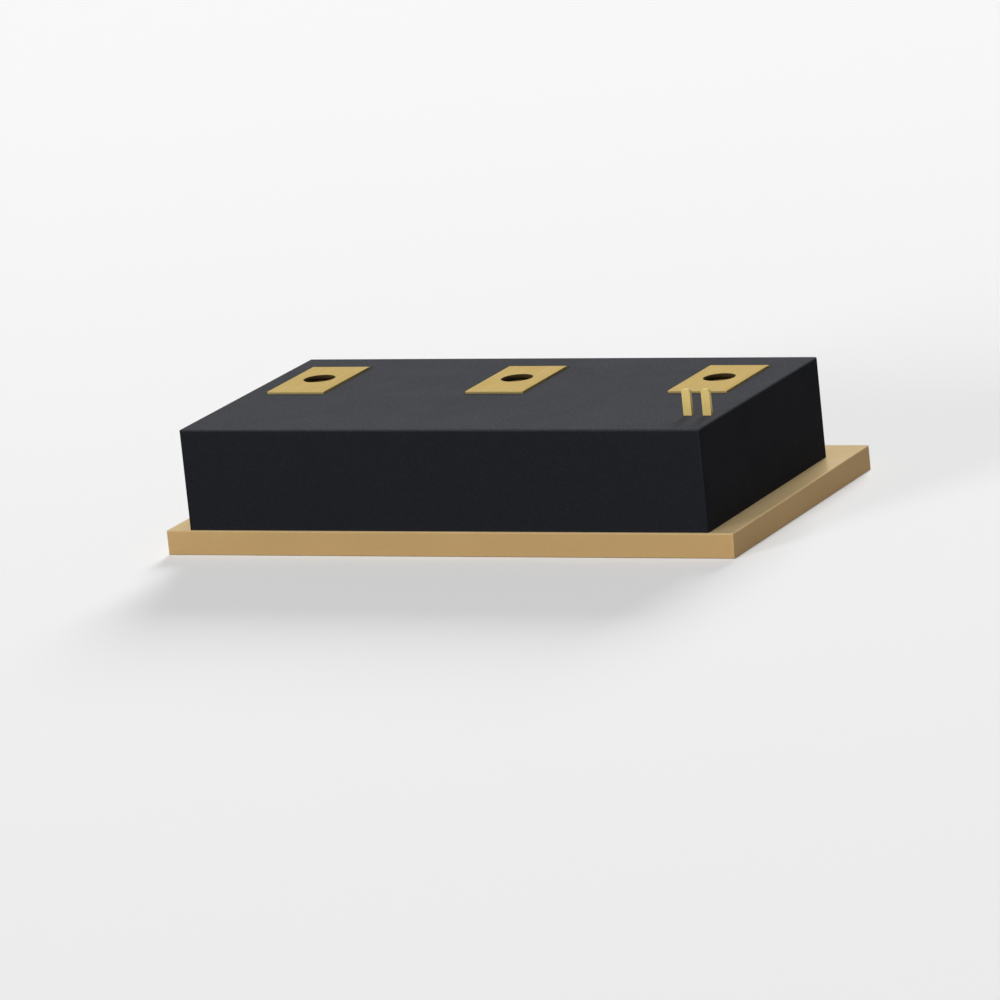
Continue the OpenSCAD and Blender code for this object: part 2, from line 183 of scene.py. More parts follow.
class NutSettings(PropertyGroup):
    # Both nut colours are the passivation's tint, darkened as painted shade for the holes that the nuts are
    # seen through.
    colour: colour_property("Colour", "Colour of the passivated steel", tone(112, 93, 58))
    stain_and_shade_colour: colour_property("Stain colour", "Second colour of the passivation", tone(90, 68, 42))
    stain_size: length_property("Stain size", "Size of the patches of that colour", 1.5 * MM)
    grain: length_property("Grain", "Size of the etched grain", 0.12 * MM)
    grain_depth: length_property("Grain depth", "Depth of that grain", 0.002 * MM)
    count: IntProperty(name="Count", description="Number of nuts in the row", default=3, min=1)
    thread_radius: length_property("Thread radius", "Radius at the bottom of the thread", 2.5 * MM)
    pitch: length_property("Pitch", "Pitch of the thread", 0.8 * MM)
    countersink: length_property("Countersink", "How far the bore's ends widen past the thread", 0.375 * MM)
    segments: IntProperty(name="Segments", description="Steps round one turn", default=48, min=12)


class InsideSettings(PropertyGroup):
    copper: colour_property("Copper", "Colour of tracks and bridges", tone(216, 152, 118))
    ceramic: colour_property("Ceramic", "Colour of the insulating plates", tone(240, 238, 230))
    silicon: colour_property("Silicon", "Colour of the chips", tone(88, 94, 104))
    molybdenum: colour_property("Molybdenum", "Colour of the discs", tone(146, 148, 154))
    solder: colour_property("Solder", "Colour of the solder", tone(196, 199, 204))
    gel: colour_property("Gel", "Colour of the insulating gel", tone(226, 233, 236))
    sealant: colour_property("Sealant", "Colour of the adhesive bead", tone(58, 58, 60))
    white_lead: colour_property("White lead", "Colour of the gate's lead", tone(230, 227, 218))
    red_lead: colour_property("Red lead", "Colour of the cathode's lead", tone(178, 50, 42))


class StudioSettings(PropertyGroup):
    # Painted shade: the floor's seen colour darkens from far to near, standing in for light that falls off
    # towards the front.
    far_colour: colour_property("Far colour", "Colour of the floor behind the module", tone(249, 249, 249))
    near_colour: colour_property("Near colour", "Colour of the floor in front of it", tone(234, 234, 234))
    far_reach: length_property("Far reach", "Distance behind it where the one is full", 0.6)
    near_reach: length_property("Near reach", "Distance in front where the other is full", 0.55)
    floor_size: length_property("Floor size", "Side of the floor", 24.0)
    floor_albedo: share_property("Floor albedo", "Share of the light that the floor throws back", 0.36)
    shadow_share: share_property("Shadow share", "Share of the floor's look that takes the shadow", 0.8)
    world_light: number_property("World light", "Strength of the even light from all round", 0.1)
    key_light: number_property("Key light", "Strength of the light from behind", 1.0)
    key_azimuth: angle_property("Key azimuth", "Its direction, from the front round to the right", 188)
    key_elevation: angle_property("Key elevation", "Its height above the floor", 21.5)
    key_spread: angle_property("Key spread", "Its angular size, which softens its shadow", 22)
    top_light: number_property("Top light", "Strength of the light from overhead", 0.41)
    top_azimuth: angle_property("Top azimuth", "Its direction, from the front round to the right", 25)
    top_elevation: angle_property("Top elevation", "Its height above the floor", 80)
    top_spread: angle_property("Top spread", "Its angular size, which softens its shadow", 20)
    fill_light: number_property("Fill light", "Strength of the light from the front", 0.72)
    fill_azimuth: angle_property("Fill azimuth", "Its direction, from the front round to the right", -25)
    fill_elevation: angle_property("Fill elevation", "Its height above the floor", 10)
    fill_spread: angle_property("Fill spread", "Its angular size, which softens its shadow", 18)
    azimuth: angle_property("Azimuth", "Camera's direction, from the front round to the right", 25.70)
    elevation: angle_property("Elevation", "Camera's height above the floor", 13.01)
    roll: angle_property("Roll", "Camera's turn about its own axis", -5.99)
    distance: length_property("Distance", "Camera's distance from the aiming point", 1.3821)
    aim_height: length_property("Aim height", "Height of the aiming point", 12 * MM)
    aside: FloatVectorProperty(
        name="Aside", description="Camera's offset to its own right and upwards",
        default=(-2.45 * MM, -9.53 * MM), size=2, subtype="TRANSLATION", unit="LENGTH")
    lens: FloatProperty(
        name="Lens", description="Focal length", default=288, min=1, subtype="DISTANCE_CAMERA")


class ModuleSettings(PropertyGroup):
    case: PointerProperty(type=CaseSettings)
    baseplate: PointerProperty(type=BaseplateSettings)
    terminals: PointerProperty(type=TerminalSettings)
    nuts: PointerProperty(type=NutSettings)
    inside: PointerProperty(type=InsideSettings)
    studio: PointerProperty(type=StudioSettings)


# ---- nodes ----

def plug(tree, socket, value):
    """Feeds an input from another node's output, or sets it to a plain value."""
    if isinstance(value, bpy.types.NodeSocket):
        tree.links.new(value, socket)
    elif value is not None:
        if getattr(socket, "type", "") == "RGBA" and len(value) == 3:
            value = (*value, 1)
        socket.default_value = value


def feed(tree, node, values):
    """Feeds or sets a node's inputs, in order or by name."""
    pairs = values.items() if isinstance(values, dict) else enumerate(values)
    for key, value in pairs:
        plug(tree, node.inputs[key], value)


def add(tree, kind, inputs=(), **settings):
    """A new node with its settings, and its inputs as outputs of other nodes or plain values."""
    node = tree.nodes.new(kind)
    for name, value in settings.items():
        setattr(node, name, value)
    feed(tree, node, inputs)
    return node


def maths(tree, operation, *values):
    return add(tree, "ShaderNodeMath", values, operation=operation).outputs[0]


def vector_maths(tree, operation, *values):
    return add(tree, "ShaderNodeVectorMath", values, operation=operation).outputs[0]


def remap(tree, value, low, high, to_low=0.0, to_high=1.0):
    """A value carried smoothly from one range to another, such as from a noise's levels to a mask."""
    ranges = (value, low, high, to_low, to_high)
    return add(tree, "ShaderNodeMapRange", ranges, interpolation_type="SMOOTHSTEP").outputs[0]


def vary(tree, mask, middle, spread):
    """A number that a mask moves about its middle, by half the spread either way."""
    return maths(tree, "MULTIPLY_ADD", mask, spread, middle - spread / 2)


def blend_values(tree, share, first, second):
    return add(tree, "ShaderNodeMix", {0: share, 2: first, 3: second}, data_type="FLOAT").outputs[0]


def blend_colours(tree, share, first, second):
    return add(tree, "ShaderNodeMix", {0: share, 6: first, 7: second}, data_type="RGBA").outputs[2]


def noise(tree, vector, scale, detail=2.0, roughness=0.5):
    values = {"Vector": vector, "Scale": scale, "Detail": detail, "Roughness": roughness}
    return add(tree, "ShaderNodeTexNoise", values).outputs["Fac"]


def new_group(name, inputs, outputs, kind="ShaderNodeTree"):
    """An empty node group with named sockets, and its input and output nodes."""
    tree = bpy.data.node_groups.new(name, kind)
    for direction, sockets in (("INPUT", inputs), ("OUTPUT", outputs)):
        for socket_name, (value_type, default) in sockets.items():
            socket = tree.interface.new_socket(
                socket_name, in_out=direction, socket_type="NodeSocket" + value_type)
            if default is not None:
                socket.default_value = default
    return tree, tree.nodes.new("NodeGroupInput"), tree.nodes.new("NodeGroupOutput")


def object_point(tree):
    return tree.nodes.new("ShaderNodeTexCoord").outputs["Object"]


# ---- effects that the finishes share ----

# How many features a metre of the nicked edges and of the hazy level faces has
NICK_SCALE = 900.0
HAZE_SCALE = 60.0
# How fine the coarser of the drawn lines are against the finer, and their share of the height
COARSE_SCALE = 0.23
COARSE_SHARE = 0.35
# How fine the cloud over the grain is against its pebbles, and the pebbles' share of the height
CLOUD_SCALE = 1.7
PEBBLE_SHARE = 0.5


def make_edge_mask():
    """Mask of the band along the edges of a box, from its corners: the middle one of a point's distances
    to the box's faces is its distance to the nearest edge."""
    tree, given, result = new_group(
        "Edge mask",
        {"Low": ("Vector", None), "High": ("Vector", None), "Width": ("Float", 0.5 * MM)},
        {"Mask": ("Float", None)})
    point = object_point(tree)
    above = vector_maths(tree, "SUBTRACT", point, given.outputs["Low"])
    below = vector_maths(tree, "SUBTRACT", given.outputs["High"], point)
    nearest = vector_maths(tree, "MINIMUM", above, below)
    x, y, z = add(tree, "ShaderNodeSeparateXYZ", (nearest,)).outputs
    lesser = maths(tree, "MINIMUM", x, y)
    greater = maths(tree, "MAXIMUM", x, y)
    middle = maths(tree, "MAXIMUM", lesser, maths(tree, "MINIMUM", greater, z))
    band = remap(tree, middle, given.outputs["Width"], 0.0)
    broken = remap(tree, noise(tree, point, NICK_SCALE, detail=4.0), 0.35, 0.65, to_low=0.25)
    plug(tree, result.inputs["Mask"], maths(tree, "MULTIPLY", band, broken))
    return tree


def make_patches():
    """Soft uneven patches, from 0 to 1."""
    tree, given, result = new_group(
        "Patches", {"Size": ("Float", 10 * MM), "Contrast": ("Float", 0.5)}, {"Mask": ("Float", None)})
    scale = maths(tree, "DIVIDE", 1.0, given.outputs["Size"])
    cloud = noise(tree, object_point(tree), scale, detail=3.0, roughness=0.55)
    offset = maths(tree, "MULTIPLY", given.outputs["Contrast"], 0.5)
    low = maths(tree, "SUBTRACT", 0.5, offset)
    high = maths(tree, "ADD", 0.5, offset)
    plug(tree, result.inputs["Mask"], remap(tree, cloud, high, low))
    return tree


def make_drawn_lines():
    """Fine lines that run along the stretched axis of the grain, as rolling and drawing leave them."""
    tree, given, result = new_group(
        "Drawn lines", {"Stretch": ("Vector", (1, 1, 1)), "Size": ("Float", 0.2 * MM)},
        {"Lines": ("Float", None)})
    point = vector_maths(tree, "DIVIDE", object_point(tree), given.outputs["Stretch"])
    scale = maths(tree, "DIVIDE", 1.0, given.outputs["Size"])
    fine = noise(tree, point, scale, detail=3.0, roughness=0.6)
    coarse = noise(tree, point, maths(tree, "MULTIPLY", scale, COARSE_SCALE))
    plug(tree, result.inputs["Lines"], blend_values(tree, COARSE_SHARE, fine, coarse))
    return tree


def make_grain():
    """The pebbled height of a cast, sparked or etched surface."""
    tree, given, result = new_group(
        "Grain", {"Size": ("Float", 0.3 * MM)}, {"Height": ("Float", None)})
    point = object_point(tree)
    scale = maths(tree, "DIVIDE", 1.0, given.outputs["Size"])
    pebbles = add(tree, "ShaderNodeTexVoronoi", {"Vector": point, "Scale": scale}, feature="SMOOTH_F1")
    cloud = noise(tree, point, maths(tree, "MULTIPLY", scale, CLOUD_SCALE))
    height = maths(tree, "MULTIPLY_ADD", pebbles.outputs["Distance"], PEBBLE_SHARE, cloud)
    plug(tree, result.inputs["Height"], height)
    return tree


def make_level_face():
    """Mask of a box's face at one height, a little cloudy. It fades out one turn below that height, or
    above it where the turn is negative."""
    tree, given, result = new_group(
        "Level face", {"Height": ("Float", 0.0), "Turn": ("Float", 0.3 * MM)}, {"Mask": ("Float", None)})
    point = object_point(tree)
    height = add(tree, "ShaderNodeSeparateXYZ", (point,)).outputs["Z"]
    start = maths(tree, "SUBTRACT", given.outputs["Height"], given.outputs["Turn"])
    level = remap(tree, height, start, given.outputs["Height"])
    cloud = noise(tree, point, HAZE_SCALE, detail=6.0, roughness=0.7)
    haze = remap(tree, cloud, 0.25, 0.75, to_low=0.93, to_high=1.07)
    plug(tree, result.inputs["Mask"], maths(tree, "MULTIPLY", level, haze))
    return tree


GROUP_MAKERS = {
    "Edge mask": make_edge_mask,
    "Patches": make_patches,
    "Drawn lines": make_drawn_lines,
    "Grain": make_grain,
    "Level face": make_level_face,
}


def effect(tree, name, values):
    """A shared effect placed in a material with its own values."""
    group = bpy.data.node_groups.get(name) or GROUP_MAKERS[name]()
    return add(tree, "ShaderNodeGroup", values, node_tree=group).outputs[0]


def grooves(tree, lines):
    """Mask of the deeper of the drawn lines, where a metal looks duller."""
    return remap(tree, lines, 0.62, 0.38)


def bump(tree, height, depth):
    """A normal that follows a height of the given depth."""
    values = {"Height": height, "Distance": depth, "Strength": 1.0}
    return add(tree, "ShaderNodeBump", values).outputs["Normal"]


def surface(name, constants):
    """A material, its tree and its shader, with what is the same all over set on the shader."""
    material = bpy.data.materials.new(name + "_finish")
    material.use_nodes = True
    tree = material.node_tree
    shader = tree.nodes["Principled BSDF"]
    feed(tree, shader, constants)
    return material, tree, shader


# ---- finishes of the outside ----

def plastic_finish(settings):
    """Moulded plastic: a spark grain, a lighter layer on its upper face that is dust and painted light from
    above, and rubbed edges.
    """
    low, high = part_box("case")
    material, tree, shader = surface("moulded_plastic", {"Specular IOR Level": settings.specular})
    edges = effect(tree, "Edge mask", {"Low": low, "High": high, "Width": settings.wear_width})
    upper = effect(tree, "Level face", {"Height": high.z, "Turn": settings.dust_and_top_light_turn})
    patches = effect(tree, "Patches", {"Size": settings.patch_size, "Contrast": 0.6})
    grain = effect(tree, "Grain", {"Size": settings.grain})
    mottled = remap(tree, grain, 0.5, 1.0, to_high=settings.mottling)
    plain = blend_colours(tree, mottled, settings.colour, settings.worn_colour)
    # Painted highlight: the grain's high points take more of the top's dust and painted light.
    dust_and_light_on_grain = remap(tree, grain, 0.4, 1.1, to_low=settings.dust_and_top_light * 0.7, to_high=settings.dust_and_top_light * 1.35)
    dust_and_top_light = maths(tree, "MULTIPLY", upper, dust_and_light_on_grain)
    dust_and_top_lit = blend_colours(tree, dust_and_top_light, plain, settings.dust_and_top_light_colour)
    worn = maths(tree, "MULTIPLY", edges, settings.wear)
    feed(tree, shader, {
        "Base Color": blend_colours(tree, worn, dust_and_top_lit, settings.worn_colour),
        "Roughness": vary(tree, patches, settings.roughness, spread=0.08),
        "Normal": bump(tree, grain, settings.grain_depth),
    })
    return material


def copper_finish(settings):
    """Copper alloy: rolling lines on both faces, a tumbled grain on the cut edges."""
    low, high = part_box("baseplate")
    material, tree, shader = surface("rolled_copper", {
        "Metallic": settings.metallic, "Specular IOR Level": 0.2, "Specular Tint": settings.gloss_colour})
    edges = effect(tree, "Edge mask", {"Low": low, "High": high, "Width": settings.wear_width})
    patches = effect(tree, "Patches", {"Size": settings.patch_size, "Contrast": 0.6})
    rolled = effect(tree, "Drawn lines", {"Stretch": (40, 1, 1), "Size": settings.line_size})
    tumbled = effect(tree, "Grain", {"Size": settings.edge_grain})
    upper = effect(tree, "Level face", {"Height": high.z, "Turn": settings.face_turn})
    lower = effect(tree, "Level face", {"Height": low.z, "Turn": -settings.face_turn})
    level = maths(tree, "MAXIMUM", upper, lower)
    height = blend_values(tree, level, tumbled, rolled)

    tarnished = blend_colours(tree, patches, settings.colour, settings.dull_colour)
    lined = maths(tree, "MULTIPLY", grooves(tree, rolled), settings.line_contrast)
    rolled_face = blend_colours(tree, lined, tarnished, settings.dull_colour)
    pits = remap(tree, tumbled, 0.9, 0.5, to_high=0.3)
    pitted = maths(tree, "MULTIPLY_ADD", patches, 0.25, pits)
    pit_colour = tuple(c * settings.pit_shade for c in settings.shear_colour)
    cut_face = blend_colours(tree, pitted, settings.shear_colour, pit_colour)
    body = blend_colours(tree, level, cut_face, rolled_face)

    worn = maths(tree, "MULTIPLY", edges, settings.wear)
    uneven = blend_values(tree, 0.5, patches, height)
    feed(tree, shader, {
        "Base Color": blend_colours(tree, worn, body, settings.worn_colour),
        "Roughness": vary(tree, uneven, settings.roughness, spread=0.2),
        "Normal": bump(tree, height, settings.grain_depth),
    })
    return material


def hole_mask(tree, margin):
    """Mask of the screw holes' punched walls and a margin round them, the same at every terminal."""
    hole, spacing = screw_row()
    x, y, _ = add(tree, "ShaderNodeSeparateXYZ", (object_point(tree),)).outputs
    across = maths(tree, "WRAP", maths(tree, "SUBTRACT", x, hole.x), spacing / 2, -spacing / 2)
    along = maths(tree, "SUBTRACT", y, hole.y)
    along_squared = maths(tree, "MULTIPLY", along, along)
    radius = maths(tree, "SQRT", maths(tree, "MULTIPLY_ADD", across, across, along_squared))
    rim = hole.radius + margin
    return remap(tree, radius, rim + RIM_BLUR, rim - RIM_BLUR)


def drawn_brass(tree, settings, colour, dull_colour):
    """Colour, roughness and normal of brass with drawing lines along it."""
    patches = effect(tree, "Patches", {"Size": settings.patch_size, "Contrast": 0.7})
    drawn = effect(tree, "Drawn lines", {"Stretch": (1, 40, 40), "Size": settings.line_size})
    dull = blend_values(tree, 0.5, patches, grooves(tree, drawn))
    shade = blend_colours(tree, dull, colour, dull_colour)
    rough = vary(tree, dull, settings.roughness, spread=0.16)
    return shade, rough, bump(tree, drawn, settings.line_depth)


def strip_finish(settings):
    """Brushed brass, with painted shade on the punched walls of the screw holes and a bevel's width round
    them.
    """
    material, tree, shader = surface("brushed_strip", {"Specular Tint": settings.gloss_colour})
    shade, rough, normal = drawn_brass(tree, settings, settings.colour, settings.dull_colour)
    # The hole's wall gets the dark colour, which is painted shade, as well as less metal and more roughness.
    cut = hole_mask(tree, settings.bevel)
    feed(tree, shader, {
        "Base Color": blend_colours(tree, cut, shade, settings.hole_shade_colour),
        "Metallic": remap(
            tree, cut, 0.0, 1.0, to_low=settings.metallic, to_high=settings.cut_metallic),
        "Roughness": maths(tree, "MULTIPLY_ADD", cut, settings.cut_roughness, rough),
        "Normal": normal,
    })
    return material


def pin_finish(settings):
    """Plated brass, duller than the strip, in a lighter colour that is painted light for their upright
    faces.
    """
    material, tree, shader = surface("plated_pins", {
        "Specular Tint": settings.gloss_colour, "Metallic": settings.pin_metallic})
    shade, rough, normal = drawn_brass(tree, settings, settings.pin_colour_with_painted_light, settings.pin_dull_colour_with_painted_light)
    feed(tree, shader, {"Base Color": shade, "Roughness": rough, "Normal": normal})
    return material


def passivated_finish(settings):
    """Steel with the uneven colour of its passivation, darkened as painted shade under the screw holes."""
    material, tree, shader = surface("passivated_steel", {"Metallic": 0.85})
    stains = effect(tree, "Patches", {"Size": settings.stain_size, "Contrast": 0.5})
    grain = effect(tree, "Grain", {"Size": settings.grain})
    feed(tree, shader, {
        "Base Color": blend_colours(tree, stains, settings.colour, settings.stain_and_shade_colour),
        "Roughness": remap(tree, grain, 0.4, 1.0, to_low=0.3, to_high=0.5),
        "Normal": bump(tree, grain, settings.grain_depth),
    })
    return material


# ---- finishes of what the case encloses ----

def inner_finish(name, colour, effect_name, effect_values, contrast, roughness, depth, constants):
    """A plain finish: one colour that a shared effect darkens a little, with its relief and its gloss."""
    material, tree, shader = surface(name, constants)
    mask = effect(tree, effect_name, effect_values)
    darker = tuple(c * (1 - contrast) for c in colour)
    spread = 0.06
    feed(tree, shader, {
        "Base Color": blend_colours(tree, remap(tree, mask, 0.3, 0.8), colour, darker),
        "Roughness": remap(
            tree, mask, 0.2, 0.8, to_low=roughness - spread, to_high=roughness + spread),
        "Normal": bump(tree, mask, depth),
    })
    return material


def inner_finishes(settings):
    """The finish of each of the record's slots inside the case."""
    metal = {"Metallic": 1}
    gel = {"Transmission Weight": 0.85, "IOR": 1.41}
    # Slot, colour, effect and its values, contrast, roughness, depth of relief, the shader's constants
    rows = (
        ("bonded_copper", settings.copper, "Grain", {"Size": 0.5 * MM}, 0.2, 0.4, 0.004 * MM, metal),
        ("alumina", settings.ceramic, "Grain", {"Size": 0.15 * MM}, 0.06, 0.55, 0.003 * MM, {}),
        ("silicon", settings.silicon, "Patches", {"Size": 4 * MM}, 0.15, 0.22, 0.0005 * MM,
            {"Metallic": 0.6}),
        ("molybdenum", settings.molybdenum, "Drawn lines", {"Size": 0.3 * MM, "Stretch": (12, 1, 1)},
            0.15, 0.4, 0.003 * MM, metal),
        ("solder", settings.solder, "Grain", {"Size": 0.8 * MM}, 0.2, 0.35, 0.01 * MM, metal),
        ("clear_gel", settings.gel, "Patches", {"Size": 9 * MM}, 0.06, 0.12, 0.003 * MM, gel),
        ("sealant", settings.sealant, "Grain", {"Size": 0.4 * MM}, 0.2, 0.5, 0.01 * MM, {}),
        ("white_lead", settings.white_lead, "Patches", {"Size": 2 * MM}, 0.08, 0.45, 0.003 * MM, {}),
        ("red_lead", settings.red_lead, "Patches", {"Size": 2 * MM}, 0.15, 0.45, 0.003 * MM, {}),
    )
    return {row[0]: inner_finish(*row) for row in rows}


# ---- meshes ----

def screw_mount(terminal):
    """The record's mount of the screw that goes through a terminal."""
    name = terminal.replace("terminal", "screw")
    return next(mount for mount in frame["record"]["mounts"] if mount["name"] == name)


def screw_hole(terminal):
    """Centre and radius of a tab's screw hole, from the screw's mount and the punched wall above it."""
    x, y, z = screw_mount(terminal)["pos_m"]
    wall = [v.co for v in frame["nodes"][terminal].data.vertices if v.co.z > z]
    return ScrewHole(x, y, min(math.hypot(co.x - x, co.y - y) for co in wall))


def screw_row():
    """The first terminal's screw hole, and the distance from each one to the next."""
    first, second = (screw_hole(terminal) for terminal in TERMINALS[:2])
    return first, second.x - first.x


def merged_copy(node):
    """A CAD node's mesh with its loose triangles joined into whole faces."""
    mesh = bmesh.new()
    mesh.from_mesh(frame["nodes"][node].data)
    bmesh.ops.remove_doubles(mesh, verts=mesh.verts, dist=MERGE_DISTANCE)
    bmesh.ops.dissolve_limit(mesh, angle_limit=FLAT_ANGLE, verts=mesh.verts, edges=mesh.edges)
    return mesh


def break_edges(mesh, width, wanted):
    """Bevels the crisp outer edges for which wanted(edge) is true."""
    edges = [e for e in mesh.edges if len(e.link_faces) == 2
             and e.calc_face_angle_signed() > BEVEL_ANGLE and wanted(e)]
    bmesh.ops.bevel(
        mesh, geom=edges, offset=width, offset_type="OFFSET", segments=2, profile=0.5,
        affect="EDGES", clamp_overlap=True, loop_slide=True)


def bake(piece):
    """Turns a piece's modifiers into its own mesh."""
    graph = bpy.context.evaluated_depsgraph_get()
    mesh = bpy.data.meshes.new_from_object(piece.evaluated_get(graph), depsgraph=graph)
    piece.modifiers.clear()
    piece.data = mesh
    mesh.name = piece.name


def new_object(name, data):
    """An object in the scene for a mesh, a lamp or a camera."""
    made = bpy.data.objects.new(name, data)
    bpy.context.scene.collection.objects.link(made)
    return made


def new_piece(name, mesh):
    """An object that holds a finished mesh."""
    data = bpy.data.meshes.new(name)
    mesh.to_mesh(data)
    mesh.free()
    return new_object(name, data)


def hand_over(piece, node):
    """Shades a piece smoothly between its crisp edges and puts it in the place of a CAD node."""
    piece.data.shade_smooth()
    piece.data.set_sharp_from_angle(angle=CRISP_ANGLE)
    shading = piece.modifiers.new("Even shading", "WEIGHTED_NORMAL")
    shading.keep_sharp = True
    bake(piece)
    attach(piece, BODY)
    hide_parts(node)


def place(name, mesh, material, node):
    """Makes a piece of one material in the place of a CAD node."""
    piece = new_piece(name, mesh)
    piece.data.materials.append(material)
    hand_over(piece, node)


# ---- nuts ----

def outer_points(angle, corner_radius, height):
    """A hexagon nut's outside up one line, at the given angle, with its corners turned down."""
    flat_radius = corner_radius * math.cos(HALF_SIDE)
    from_flat = (angle + HALF_SIDE) % (2 * HALF_SIDE) - HALF_SIDE
    outside = flat_radius / math.cos(from_flat)
    drop = (outside - flat_radius) * math.tan(CORNER_SLOPE)
    return [(flat_radius, 0), (outside, drop), (outside, height - drop), (flat_radius, height)]


def bore_points(turned, nuts, crest, height):
    """A nut's bore down one line, that share of a turn round: a right-handed thread, countersunk at both
    ends. Rows that lie past an end gather on its rim, so every line has as many."""
    mouth = nuts.thread_radius + nuts.countersink
    points = [(mouth, 0)]
    for turn in range(-1, math.ceil(height / nuts.pitch)):
        for share, depth in THREAD_FORM:
            z = min(max((turn + share + turned) * nuts.pitch, 0), height)
            threaded = crest + depth * (nuts.thread_radius - crest)
            points.append((max(threaded, mouth - min(z, height - z)), z))
    points.append((mouth, height))
    return points[::-1]


def threaded_nut(nuts, corner_radius, crest, height):
    """A hexagon nut round the Z axis, from z 0 up, as one closed mesh."""
    mesh = bmesh.new()
    rings = []
    for step in range(nuts.segments + 1):
        turned = step / nuts.segments
        angle = 2 * math.pi * turned
        profile = outer_points(angle, corner_radius, height) + bore_points(turned, nuts, crest, height)
        rings.append([mesh.verts.new((r * math.cos(angle), r * math.sin(angle), z)) for r, z in profile])
    for ring, following in zip(rings, rings[1:]):
        for index, vertex in enumerate(ring):
            mesh.faces.new((vertex, following[index], following[index - 1], ring[index - 1]))
    bmesh.ops.remove_doubles(mesh, verts=mesh.verts, dist=MERGE_DISTANCE)
    bmesh.ops.recalc_face_normals(mesh, faces=mesh.faces)
    return mesh


def make_nut_row():
    """Geometry nodes that repeat a nut along X."""
    tree, given, result = new_group(
        "Row of nuts",
        {
            "Nut": ("Geometry", None), "Count": ("Int", 3), "First": ("Vector", None),
            "Spacing": ("Float", 38 * MM), "Finish": ("Material", None),
        },
        {"Nuts": ("Geometry", None)}, kind="GeometryNodeTree")
    value = given.outputs
    step = add(tree, "ShaderNodeCombineXYZ", {"X": value["Spacing"]})
    row = add(tree, "GeometryNodeMeshLine", {
        "Count": value["Count"], "Start Location": value["First"], "Offset": step.outputs[0]})
    nuts = add(tree, "GeometryNodeInstanceOnPoints", {"Points": row.outputs[0], "Instance": value["Nut"]})
    real = add(tree, "GeometryNodeRealizeInstances", (nuts.outputs[0],))
    finished = add(tree, "GeometryNodeSetMaterial", {
        "Geometry": real.outputs[0], "Material": value["Finish"]})
    plug(tree, result.inputs["Nuts"], finished.outputs[0])
    return tree


def repeat_nut(piece, values):
    """Repeats a nut with the row's geometry nodes, and makes the result the piece's own mesh."""
    modifier = piece.modifiers.new("Row of nuts", "NODES")
    modifier.node_group = make_nut_row()
    for item in modifier.node_group.interface.items_tree:
        if item.in_out == "INPUT" and item.name in values:
            modifier[item.identifier] = values[item.name]
    bake(piece)


# ---- studio ----

def towards(azimuth, elevation):
    """The direction from the module to a viewer or a light: azimuth 0 is in front and 90 at the right."""
    reach = math.cos(elevation)
    return Vector((math.sin(azimuth) * reach, -math.cos(azimuth) * reach, math.sin(elevation)))


def seen_directly(tree):
    """1 for what the camera sees, directly or in gloss and glass, and 0 for the light that others catch."""
    path = tree.nodes.new("ShaderNodeLightPath").outputs
    either = maths(tree, "MAXIMUM", path["Is Camera Ray"], path["Is Glossy Ray"])
    return maths(tree, "MAXIMUM", either, path["Is Transmission Ray"])


def floor_finish(studio):
    """Pale where it is seen, with painted shade that darkens it from far to near, and darker in the light
    that it throws back.
    """
    material = bpy.data.materials.new("studio_floor")
    material.use_nodes = True
    tree = material.node_tree
    tree.nodes.clear()
    away = -towards(studio.azimuth, 0)
    depth = add(tree, "ShaderNodeVectorMath", (object_point(tree), away), operation="DOT_PRODUCT")
    share = remap(tree, depth.outputs["Value"], -studio.near_reach, studio.far_reach)
    tint = blend_colours(tree, share, studio.near_colour, studio.far_colour)
    matte = add(tree, "ShaderNodeBsdfDiffuse", {"Color": (studio.floor_albedo,) * 3})
    shown = add(tree, "ShaderNodeBsdfDiffuse", {"Color": tint})
    glow = add(tree, "ShaderNodeEmission", {"Color": tint, "Strength": 1.0})
    looks = add(tree, "ShaderNodeMixShader", (studio.shadow_share, glow.outputs[0], shown.outputs[0]))
    either = add(tree, "ShaderNodeMixShader", (seen_directly(tree), matte.outputs[0], looks.outputs[0]))
    add(tree, "ShaderNodeOutputMaterial", (either.outputs[0],))
    return material


def make_floor(studio):
    half = studio.floor_size / 2
    corners = [(-half, -half, 0), (half, -half, 0), (half, half, 0), (-half, half, 0)]
    data = bpy.data.meshes.new("studio_floor")
    data.from_pydata(corners, [], [(0, 1, 2, 3)])
    data.materials.append(floor_finish(studio))
    new_object("studio_floor", data)


def make_world(scene, studio):
    scene.world = bpy.data.worlds.new("studio")
    scene.world.use_nodes = True
    tree = scene.world.node_tree
    tree.nodes.clear()
    light = add(tree, "ShaderNodeBackground", {"Color": (1, 1, 1), "Strength": studio.world_light})
    shown = add(tree, "ShaderNodeBackground", {"Color": studio.far_colour, "Strength": 1.0})
    either = add(tree, "ShaderNodeMixShader", (seen_directly(tree), light.outputs[0], shown.outputs[0]))
    add(tree, "ShaderNodeOutputWorld", (either.outputs[0],))


def make_light(name, studio):
    """A distant lamp that lights everything alike, from the settings that start with its name. At a
    strength of 1, a white surface that faces it renders white. It isn't seen in gloss, which shows the
    pale studio alone."""
    strength, azimuth, elevation, spread = (
        getattr(studio, name + setting) for setting in ("_light", "_azimuth", "_elevation", "_spread"))
    light = bpy.data.lights.new(name, "SUN")
    light.angle = spread
    light.energy = strength * math.pi
    lamp = new_object(name, light)
    lamp.location = towards(azimuth, elevation)
    lamp.rotation_euler = lamp.location.to_track_quat("Z", "Y").to_euler()
    lamp.visible_glossy = False


